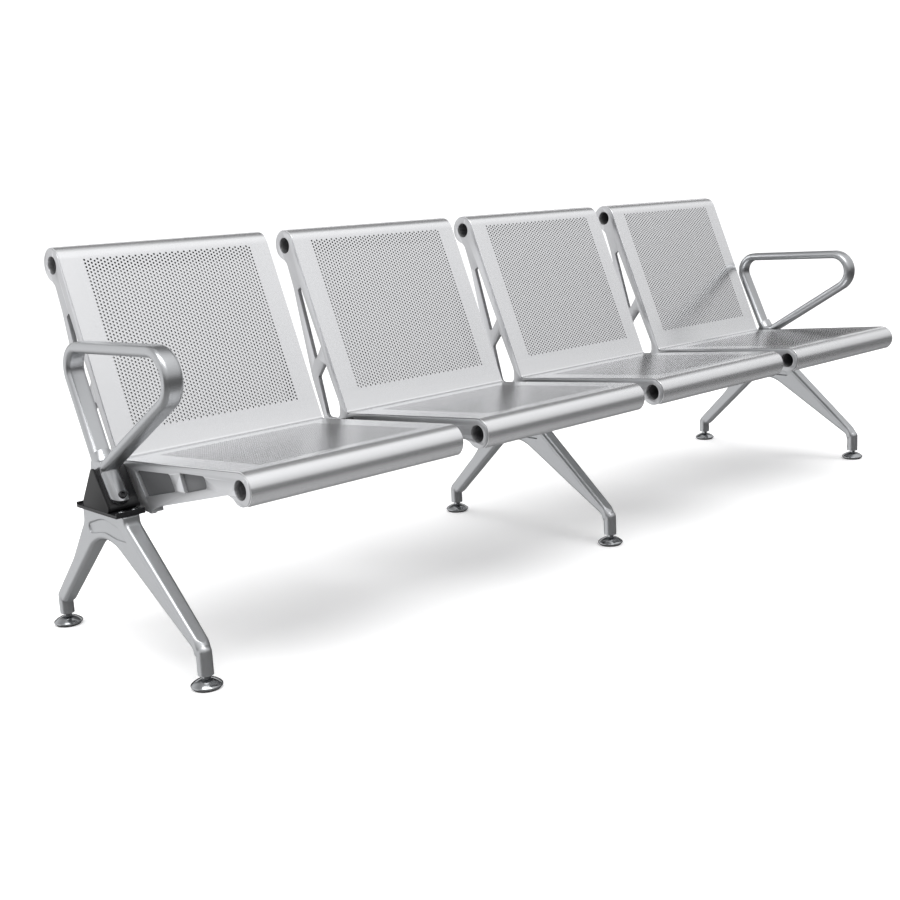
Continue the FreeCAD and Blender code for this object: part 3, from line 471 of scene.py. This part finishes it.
class ShellProfile:
    """Side profile of the sheet as a strip: a place along it and a depth give a point in the side view."""

    def __init__(self, s):
        self.s = s
        lean = s.back_lean
        self.up = (math.sin(lean), math.cos(lean))
        self.behind = (math.cos(lean), -math.sin(lean))
        to_eye = (s.front_eye_y - s.fold_y, s.front_eye_z - s.fold_z)
        rise = math.atan2(to_eye[1], -to_eye[0]) + math.asin(s.front_radius / math.hypot(*to_eye))
        self.rise = rise
        self.out = (-math.cos(rise), math.sin(rise))
        self.below = (-math.sin(rise), -math.cos(rise))
        tangent_z = s.top_eye_z - s.top_radius * self.behind[1]
        self.back_length = (tangent_z - s.fold_z) / math.cos(lean)
        back_end_y = s.fold_y + self.up[0] * self.back_length
        self.top_eye = (back_end_y + self.behind[0] * s.top_radius, s.top_eye_z)
        seat_end = (s.front_eye_y - s.front_radius * self.below[0],
                    s.front_eye_z - s.front_radius * self.below[1])
        self.seat_length = math.hypot(seat_end[0] - s.fold_y, seat_end[1] - s.fold_z)
        # The angle between the seat and the back sets how long the fold's two tangents are.
        opening = math.acos(self.up[0] * self.out[0] + self.up[1] * self.out[1])
        self.fold_reach = s.fold_radius / math.tan(opening / 2)
        middle = (self.up[0] + self.out[0], self.up[1] + self.out[1])
        size = math.hypot(*middle)
        far = s.fold_radius / math.sin(opening / 2)
        self.fold_centre = (s.fold_y + middle[0] / size * far, s.fold_z + middle[1] / size * far)

    def seat(self, along, depth):
        """Point at a distance from the fold along the seat and at a depth under its upper skin."""
        return (self.s.fold_y + self.out[0] * along + self.below[0] * depth,
                self.s.fold_z + self.out[1] * along + self.below[1] * depth)

    def back(self, along, depth):
        """Point at a distance from the fold up the back and at a depth behind its front skin."""
        return (self.s.fold_y + self.up[0] * along + self.behind[0] * depth,
                self.s.fold_z + self.up[1] * along + self.behind[1] * depth)

    def arcs(self, steps):
        """The curved stretches, each a list of functions of depth that give a point."""
        s = self.s

        def round_point(centre, radius, angle, grow):
            return lambda depth: (centre[0] + math.cos(angle) * (radius + grow * depth),
                                  centre[1] + math.sin(angle) * (radius + grow * depth))

        def arc(centre, radius, start, stop, count, grow):
            return [round_point(centre, radius, start + (stop - start) * i / count, grow)
                    for i in range(count + 1)]

        front_eye = (s.front_eye_y, s.front_eye_z)
        front = arc(front_eye, s.front_radius, s.front_end, math.pi / 2 - self.rise, steps, -1)
        seat_angle = math.atan2(self.below[1], self.below[0])
        back_angle = math.atan2(self.behind[1], self.behind[0])
        fold = arc(self.fold_centre, s.fold_radius, seat_angle, back_angle, FOLD_STEPS, 1)
        top = arc(self.top_eye, s.top_radius, math.pi - s.back_lean, s.top_end, steps, -1)
        return front, fold, top


class SheetMesh:
    """Collects the vertices and faces of a sheet with an upper and a lower skin."""

    def __init__(self, thickness):
        self.thickness = thickness
        self.verts = []
        self.faces = []
        self.hole_walls = set()
        self.known = {}

    def vertex(self, x, y, z):
        """Number of the vertex at a point, which faces that meet there share."""
        key = (round(x, 6), round(y, 6), round(z, 6))
        if key not in self.known:
            self.known[key] = len(self.verts)
            self.verts.append((x, y, z))
        return self.known[key]

    def skin_face(self, corners, locate, low_corners=None):
        """One face on the upper skin and its twin underneath. corners are (x, place) pairs."""
        for depth, order in ((0.0, corners), (self.thickness, (low_corners or corners)[::-1])):
            self.faces.append([self.vertex(x, *locate(along, depth)) for x, along in order])

    def wall(self, pair, low_pair, locate):
        """Face through the thickness from a pair of (x, place) corners above to a pair below."""
        top_a, top_b = [self.vertex(x, *locate(along, 0.0)) for x, along in pair]
        low_a, low_b = [self.vertex(x, *locate(along, self.thickness)) for x, along in low_pair]
        self.hole_walls.add(len(self.faces))
        self.faces.append([top_a, top_b, low_b, low_a])


def facing(points, flip):
    """Corners of a face, reversed on a panel that runs the other way."""
    return points[::-1] if flip else points


def perforated_field(sheet, locate, s, columns, rows, low, flip):
    """Punched field: staggered columns of round holes. Returns its edges for the margins around it."""
    width = columns * s.column_pitch
    left = -width / 2
    sides = s.hole_sides
    radius = s.hole_diameter / 2
    narrow = s.throat_diameter / 2
    half = s.row_pitch / 2
    for column in range(columns):
        x0 = left + column * s.column_pitch
        x1 = x0 + s.column_pitch
        middle = (x0 + x1) / 2
        offset = 0.0 if column % 2 else half
        end = low + (rows * s.row_pitch if column % 2 else 0.0)
        half_cell = [(x0, end), (x1, end), (x1, end + half), (x0, end + half)]
        sheet.skin_face(facing(half_cell, flip), locate)
        for row in range(rows):
            y0 = low + offset + row * s.row_pitch
            y1 = y0 + s.row_pitch
            mid = y0 + half
            ring = [(x1, mid), (x1, y1), (x0, y1), (x0, mid), (x0, y0), (x1, y0)]
            turns = [2 * math.pi * i / sides for i in range(sides)]
            hole = [(middle + radius * math.cos(a), mid + radius * math.sin(a)) for a in turns]
            throat = [(middle + narrow * math.cos(a), mid + narrow * math.sin(a)) for a in turns]
            share = sides // len(ring)
            for i in range(len(ring)):
                picks = [(i * share + k) % sides for k in range(share, -1, -1)]
                outer = [ring[i], ring[(i + 1) % len(ring)]]
                sheet.skin_face(facing(outer + [hole[k] for k in picks], flip), locate,
                                facing(outer + [throat[k] for k in picks], flip))
            for i in range(sides):
                ends = (i, (i + 1) % sides) if flip else ((i + 1) % sides, i)
                sheet.wall([hole[k] for k in ends], [throat[k] for k in ends], locate)
    high = low + (rows + 0.5) * s.row_pitch
    ladder = [low + i * half for i in range(2 * rows + 2)]
    steps = [left + i * s.column_pitch for i in range(columns + 1)]
    return left, left + width, low, high, ladder, steps


def flat_panel(sheet, locate, s, edge_x, start, stop, columns, rows, low, flip):
    """Flat stretch of the sheet with a punched field and plain margins."""
    field = perforated_field(sheet, locate, s, columns, rows, low, flip)
    left, right, field_low, field_high, ladder, steps = field
    lower = [(-edge_x, start), (edge_x, start), (edge_x, field_low)]
    lower += [(x, field_low) for x in reversed(steps)] + [(-edge_x, field_low)]
    upper = [(-edge_x, field_high)] + [(x, field_high) for x in steps]
    upper += [(edge_x, field_high), (edge_x, stop), (-edge_x, stop)]
    side_left = [(-edge_x, field_low)] + [(left, a) for a in ladder] + [(-edge_x, field_high)]
    side_right = [(edge_x, field_high)] + [(right, a) for a in reversed(ladder)] + [(edge_x, field_low)]
    for outline in (lower, upper, side_left, side_right):
        sheet.skin_face(facing(outline, flip), locate)
    return [start, field_low, field_high, stop]


def curved_strips(sheet, stretches, edge_x):
    """Both skins of the rolls and the fold. Returns the two ends of each strip."""
    strips = []
    for stretch in stretches:
        for a, b in zip(stretch, stretch[1:]):
            strips.append((a, b))
            corners = [(-edge_x, a), (edge_x, a), (edge_x, b), (-edge_x, b)]
            for depth, order in ((0.0, corners), (sheet.thickness, corners[::-1])):
                sheet.faces.append([sheet.vertex(x, *place(depth)) for x, place in order])
    return strips


def flat_strips(stops, locate, upwards):
    """The two ends of each strip of a flat stretch, in the sense that the rolls have."""
    strips = []
    for a, b in zip(stops, stops[1:]):
        pair = (lambda depth, a=a: locate(a, depth), lambda depth, b=b: locate(b, depth))
        strips.append(pair if upwards else pair[::-1])
    return strips


def rim_levels(sheet, edge_x):
    """Corners of one long edge of the sheet, from the upper skin to the lower, as (x, depth) pairs."""
    far_x = edge_x + RIM
    return [(edge_x, 0.0), (far_x, RIM), (far_x, sheet.thickness - RIM), (edge_x, sheet.thickness)]


def side_edges(sheet, strips, edge_x):
    """The long edges of the sheet, with a small rounding above and below."""
    levels = rim_levels(sheet, edge_x)
    for a, b in strips:
        for side in (-1, 1):
            for (xa, da), (xb, db) in zip(levels, levels[1:]):
                face = [sheet.vertex(side * xa, *a(da)), sheet.vertex(side * xb, *a(db)),
                        sheet.vertex(side * xb, *b(db)), sheet.vertex(side * xa, *b(da))]
                sheet.faces.append(face if side > 0 else face[::-1])


def cut_ends(sheet, ends, edge_x):
    """The short ends of the sheet inside its rolls."""
    levels = rim_levels(sheet, edge_x)
    outline = [(-x, depth) for x, depth in levels] + levels[::-1]
    for place, order in ends:
        sheet.faces.append([sheet.vertex(x, *place(depth)) for x, depth in outline][::order])


def shell_mesh(s):
    """The whole folded and perforated sheet, about x = 0."""
    profile = ShellProfile(s)
    sheet = SheetMesh(s.thickness)
    edge_x = s.width / 2 - RIM
    seat_stops = flat_panel(sheet, profile.seat, s, edge_x, profile.fold_reach, profile.seat_length,
                            s.seat_columns, s.seat_rows, s.seat_field_low, True)
    back_stops = flat_panel(sheet, profile.back, s, edge_x, profile.fold_reach, profile.back_length,
                            s.back_columns, s.back_rows, s.back_field_low, False)
    front, fold, top = profile.arcs(s.arc_steps)
    strips = curved_strips(sheet, (front, fold, top), edge_x)
    strips += flat_strips(seat_stops, profile.seat, False)
    strips += flat_strips(back_stops, profile.back, True)
    side_edges(sheet, strips, edge_x)
    cut_ends(sheet, ((front[0], 1), (top[-1], -1)), edge_x)
    mesh = bpy.data.meshes.new("shape_seat_shell")
    mesh.from_pydata(sheet.verts, [], sheet.faces)
    mesh.materials.append(finish("shell"))
    mesh.materials.append(finish("hole"))
    for index in sheet.hole_walls:
        mesh.polygons[index].material_index = 1
    mesh.shade_smooth()
    mesh.set_sharp_from_angle(angle=SHEET_SHARP_ANGLE)
    return mesh


class SEATING_OT_shells(Operator):
    """Makes the folded, perforated seat sheets"""

    bl_idname = "seating.shells"
    bl_label = "Seat shells"

    def execute(self, context):
        mesh = shell_mesh(settings().shell)
        for n in SEATS:
            node = "seat_%d_shell" % n
            show(node, mesh, finish("shell"), BODY, middle_x(node))
        return {"FINISHED"}


def paint_web_shade(mesh, outer_x):
    """Gives the thin webs at the bottom of a bracket's pockets a rougher finish and a dark colour that is
    painted shade of the recesses.
    """
    mesh.materials.append(finish("web"))
    for face in mesh.polygons:
        depth = abs(face.center.x - outer_x)
        if abs(face.normal.x) > FACING_SIDEWAYS and abs(depth - WEB_DEPTH) < WEB_TOLERANCE:
            face.material_index = 1


class SEATING_OT_brackets(Operator):
    """Dresses the cast side brackets"""

    bl_idname = "seating.brackets"
    bl_label = "Side brackets"

    def execute(self, context):
        width = settings().edges.bracket
        for n in SEATS:
            for side in SIDES:
                node = "seat_%d_bracket_%s" % (n, side)
                obj = dress(node, BODY, finish("bracket"), width)
                low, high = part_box(node)
                # The pocket floors get their painted shade
                paint_web_shade(obj.data, low.x if side == "left" else high.x)
            dress("seat_%d_roll_tubes" % n, BODY, finish("tube"), settings().edges.small)
        return {"FINISHED"}


class SEATING_OT_beam(Operator):
    """Dresses the beam, its end caps and the steel plates under it"""

    bl_idname = "seating.beam"
    bl_label = "Beam"

    def execute(self, context):
        edges = settings().edges
        dress("beam", BODY, finish("beam"), edges.beam)
        for side in SIDES:
            dress("beam_end_cap_" + side, BODY, finish("plastic"), edges.beam)
        for place in LEG_PLACES:
            dress("leg_plate_" + place, BODY, finish("beam"), edges.small)
        for n in SEATS:
            dress("seat_%d_clamp_plates" % n, BODY, finish("bracket"), edges.beam)
        return {"FINISHED"}


def round_ankles(mesh, e):
    """Smooths the lower end of each limb and trues its ankle to a round bar about the foot's stud."""
    work = bmesh.new()
    work.from_mesh(mesh)
    smoothed_top = e.ankle_top + e.ankle_blend * ANKLE_SMOOTHED_BLENDS
    low_end = [v for v in work.verts if v.co.z < smoothed_top]
    for _ in range(e.ankle_rounds):
        bmesh.ops.smooth_vert(work, verts=low_end, factor=SMOOTHING_SHARE,
                              use_axis_x=True, use_axis_y=True, use_axis_z=False)
    nearest = e.ankle_radius * ANKLE_INNER_SHARE
    farthest = e.ankle_radius * ANKLE_OUTER_SHARE
    for end in FOOT_ENDS:
        low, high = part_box("foot_stud_middle_" + end)
        x, y = (low.x + high.x) / 2, (low.y + high.y) / 2
        for v in low_end:
            away = math.hypot(v.co.x - x, v.co.y - y)
            if nearest < away < farthest:
                share = min(1.0, max(0.0, (e.ankle_top - v.co.z) / e.ankle_blend))
                grow = 1 + share * (e.ankle_radius / away - 1)
                v.co.x = x + (v.co.x - x) * grow
                v.co.y = y + (v.co.y - y) * grow
    work.to_mesh(mesh)
    work.free()


class SEATING_OT_legs(Operator):
    """Dresses the cast legs"""

    bl_idname = "seating.legs"
    bl_label = "Legs"

    def execute(self, context):
        edges = settings().edges
        mesh = cast_mesh("leg_middle", edges.leg_voxel, edges.leg_rounds)
        round_ankles(mesh, edges)
        for place in LEG_PLACES:
            node = "leg_" + place
            show(node, mesh, finish("leg"), BODY, middle_x(node))
        return {"FINISHED"}


class SEATING_OT_feet(Operator):
    """Dresses the levelling feet"""

    bl_idname = "seating.feet"
    bl_label = "Levelling feet"

    def execute(self, context):
        small = settings().edges.small
        for place in LEG_PLACES:
            for end in FOOT_ENDS:
                tag = place + "_" + end
                dress("foot_glide_" + tag, "foot_" + tag, finish("chrome"), small)
                dress("foot_pad_" + tag, "foot_" + tag, finish("rubber"), small)
                dress("foot_stud_" + tag, "stud_" + tag, finish("chrome"), small)
        return {"FINISHED"}


class SEATING_OT_armrests(Operator):
    """Dresses the loop armrests and their screws"""

    bl_idname = "seating.armrests"
    bl_label = "Armrests"

    def execute(self, context):
        for side in SIDES:
            dress("armrest_" + side, BODY, finish("armrest"), settings().edges.armrest)
        dress("armrest_screws", BODY, finish("dark_screw"), settings().edges.small)
        return {"FINISHED"}


class SEATING_OT_fasteners(Operator):
    """Dresses the bolts and studs"""

    bl_idname = "seating.fasteners"
    bl_label = "Fasteners"

    def execute(self, context):
        small = settings().edges.small
        dress("leg_bolts", BODY, finish("chrome"), small)
        for n in SEATS:
            dress("seat_%d_shell_studs" % n, BODY, finish("zinc"), small / 2)
            dress("seat_%d_clamp_bolts" % n, BODY, finish("zinc"), small)
        return {"FINISHED"}


# Studio


def area_light(name, place, target, size, power):
    """A rectangular soft light that faces a point."""
    data = bpy.data.lights.new(name, "AREA")
    data.shape = "RECTANGLE"
    data.size, data.size_y = size
    data.energy = power
    light = bpy.data.objects.new(name, data)
    light.location = place
    light.rotation_euler = (Vector(target) - Vector(place)).to_track_quat("-Z", "Y").to_euler()
    bpy.context.scene.collection.objects.link(light)
    return light


def brightness_by_height(nodes, links, vertical, stops):
    """Ramp over the height of a direction, from straight down at 0 to straight up at 1."""
    spread = nodes.new("ShaderNodeMapRange")
    spread.inputs["From Min"].default_value = -1.0
    links.new(vertical, spread.inputs["Value"])
    ramp_node = nodes.new("ShaderNodeValToRGB")
    ramp = ramp_node.color_ramp
    while len(ramp.elements) < len(stops):
        ramp.elements.new(0.5)
    for element, (height, level) in zip(ramp.elements, stops):
        element.position = (height + 1) / 2
        element.color = (level, level, level * COOL_TINT, 1)
    links.new(spread.outputs["Result"], ramp_node.inputs["Fac"])
    return ramp_node.outputs["Color"]


def studio_world(dark):
    """Soft surroundings: white behind the bench, a dark stretch low in front of it and one high behind it."""
    world = bpy.data.worlds.new("studio")
    world.use_nodes = True
    bpy.context.scene.world = world
    nodes = world.node_tree.nodes
    links = world.node_tree.links
    background = nodes["Background"]
    place = nodes.new("ShaderNodeTexCoord")
    split = nodes.new("ShaderNodeSeparateXYZ")
    links.new(place.outputs["Generated"], split.inputs["Vector"])
    height = split.outputs["Z"]
    in_front = brightness_by_height(nodes, links, height, (
        (-1.0, 0.4), (-0.55, 0.3), (-0.3, dark), (0.02, dark),
        (0.2, 0.6), (0.5, 0.84), (0.75, 1.0), (1.0, 1.0)))
    rear_right = brightness_by_height(nodes, links, height, (
        (-1.0, 0.3), (-0.35, dark), (0.21, dark), (0.26, 1.0),
        (0.38, 1.0), (0.45, dark), (0.78, 2 * dark), (0.92, 0.8)))
    rear_left = brightness_by_height(nodes, links, height, (
        (-1.0, 0.3), (-0.6, 0.5), (-0.3, 1.0), (0.0, 1.0), (0.5, 0.9), (0.8, 0.5)))

    def share(source, reach):
        """Runs from 0 to 1 as one part of the direction runs over a reach."""
        node = nodes.new("ShaderNodeMapRange")
        node.inputs["From Min"].default_value, node.inputs["From Max"].default_value = reach
        links.new(source, node.inputs["Value"])
        return node.outputs["Result"]

    def blend(first, second, amount):
        """Goes from the first brightness to the second."""
        node = nodes.new("ShaderNodeMix")
        node.data_type = "RGBA"
        links.new(amount, node.inputs["Factor"])
        links.new(first, node.inputs["A"])
        links.new(second, node.inputs["B"])
        return node.outputs["Result"]

    at_rear = blend(rear_left, rear_right, share(split.outputs["X"], LEFT_TO_RIGHT))
    everywhere = blend(in_front, at_rear, share(split.outputs["Y"], FRONT_TO_REAR))
    links.new(everywhere, background.inputs["Color"])
    background.inputs["Strength"].default_value = 1.0


def backdrop(radius):
    """A white dome all round, seen by the camera alone, so that the metal still mirrors the surroundings."""
    mesh = bpy.data.meshes.new("backdrop")
    work = bmesh.new()
    bmesh.ops.create_icosphere(work, subdivisions=BACKDROP_FINENESS, radius=radius)
    work.to_mesh(mesh)
    work.free()
    white = surface_finish("white_backdrop", (1.0, 1.0, 1.0), 0.0, 0.9, 10.0, 0.01 * MM, mottle=0.0)
    glow(white, 1.0)
    mesh.materials.append(white)
    dome = bpy.data.objects.new("backdrop", mesh)
    bpy.context.scene.collection.objects.link(dome)
    for way in ("glossy", "diffuse", "shadow", "transmission", "volume_scatter"):
        setattr(dome, "visible_" + way, False)


def pale_floor(radius, strength):
    """A round floor that gives off a little light, so that it fades into the backdrop."""
    mesh = bpy.data.meshes.new("floor")
    work = bmesh.new()
    bmesh.ops.create_circle(work, cap_ends=True, radius=radius, segments=FLOOR_SIDES)
    work.to_mesh(mesh)
    work.free()
    pale = surface_finish("pale_floor", (0.86, 0.86, 0.86), 0.0, 0.8, 40.0, 0.02 * MM, mottle=0.005)
    glow(pale, strength)
    mesh.materials.append(pale)
    floor = bpy.data.objects.new("floor", mesh)
    floor.visible_glossy = False
    bpy.context.scene.collection.objects.link(floor)


def soft_sky(power, spread, turn):
    """A very wide sun that stands for the soft light of a studio's ceiling."""
    sun = bpy.data.objects.new("soft_sky", bpy.data.lights.new("soft_sky", "SUN"))
    sun.data.energy = power
    sun.data.angle = spread
    sun.rotation_euler = turn
    sun.visible_glossy = False
    bpy.context.scene.collection.objects.link(sun)


def aimed_camera(s):
    """The camera at the photograph's place, turned by yaw, pitch and roll."""
    yaw, pitch, roll = s.camera_yaw, s.camera_pitch, s.camera_roll
    forward = Vector((math.sin(yaw) * math.cos(pitch), math.cos(yaw) * math.cos(pitch), math.sin(pitch)))
    right = Vector((math.cos(yaw), -math.sin(yaw), 0.0))
    up = right.cross(forward)
    x_axis = right * math.cos(roll) + up * math.sin(roll)
    y_axis = up * math.cos(roll) - right * math.sin(roll)
    data = bpy.data.cameras.new("camera")
    data.lens = s.lens
    data.sensor_width = SENSOR_WIDTH_MM
    data.clip_end = VIEW_REACH
    camera = bpy.data.objects.new("camera", data)
    turn = Matrix((x_axis, y_axis, -forward)).transposed()
    camera.matrix_world = Matrix.Translation(Vector(s.camera_place)) @ turn.to_4x4()
    bpy.context.scene.collection.objects.link(camera)
    return camera


class SEATING_OT_stage(Operator):
    """Makes the floor, the lights and the camera"""

    bl_idname = "seating.stage"
    bl_label = "Studio"

    def execute(self, context):
        s = settings().stage
        pale_floor(s.floor_radius, s.floor_glow)
        studio_world(s.dark_level)
        backdrop(s.floor_radius * BACKDROP_SHARE)
        soft_sky(s.sky_power, s.sky_spread, s.sky_turn)
        area_light("key_softbox", s.key_place, s.key_target, s.key_size, s.key_power)
        top = area_light("top_softbox", s.top_place, s.top_target, s.top_size, s.top_power)
        top.visible_glossy = False
        bpy.context.scene.camera = aimed_camera(s)
        bpy.context.scene.view_settings.view_transform = "Standard"
        return {"FINISHED"}


class SEATING_PT_panel(Panel):
    """Sidebar panel with the settings and the steps"""

    bl_idname = "SEATING_PT_panel"
    bl_label = "Beam Seating"
    bl_space_type = "VIEW_3D"
    bl_region_type = "UI"
    bl_category = "Beam Seating"

    def draw(self, context):
        layout = self.layout
        group = context.scene.beam_seating
        for name in ("shell", "edges", "colours", "stage"):
            block = getattr(group, name)
            box = layout.box()
            box.label(text=name.capitalize())
            for key in block.bl_rna.properties.keys():
                if key not in ("rna_type", "name"):
                    box.prop(block, key)
        for operator in OPERATORS:
            layout.operator(operator.bl_idname)


OPERATORS = (
    SEATING_OT_shells,
    SEATING_OT_brackets,
    SEATING_OT_beam,
    SEATING_OT_legs,
    SEATING_OT_feet,
    SEATING_OT_armrests,
    SEATING_OT_fasteners,
    SEATING_OT_stage,
)
SETTINGS = (ShellSettings, EdgeSettings, ColourSettings, StageSettings, BeamSeatingSettings)
CLASSES = SETTINGS + OPERATORS + (SEATING_PT_panel,)


def register():
    for item in CLASSES:
        bpy.utils.register_class(item)
    bpy.types.Scene.beam_seating = PointerProperty(type=BeamSeatingSettings)


def unregister():
    del bpy.types.Scene.beam_seating
    for item in reversed(CLASSES):
        bpy.utils.unregister_class(item)


def main():
    """Builds the whole scene."""
    register()
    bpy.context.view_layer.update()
    bpy.ops.seating.shells()
    bpy.ops.seating.brackets()
    bpy.ops.seating.beam()
    bpy.ops.seating.legs()
    bpy.ops.seating.feet()
    bpy.ops.seating.armrests()
    bpy.ops.seating.fasteners()
    bpy.ops.seating.stage()


if __name__ == "__main__":
    main()
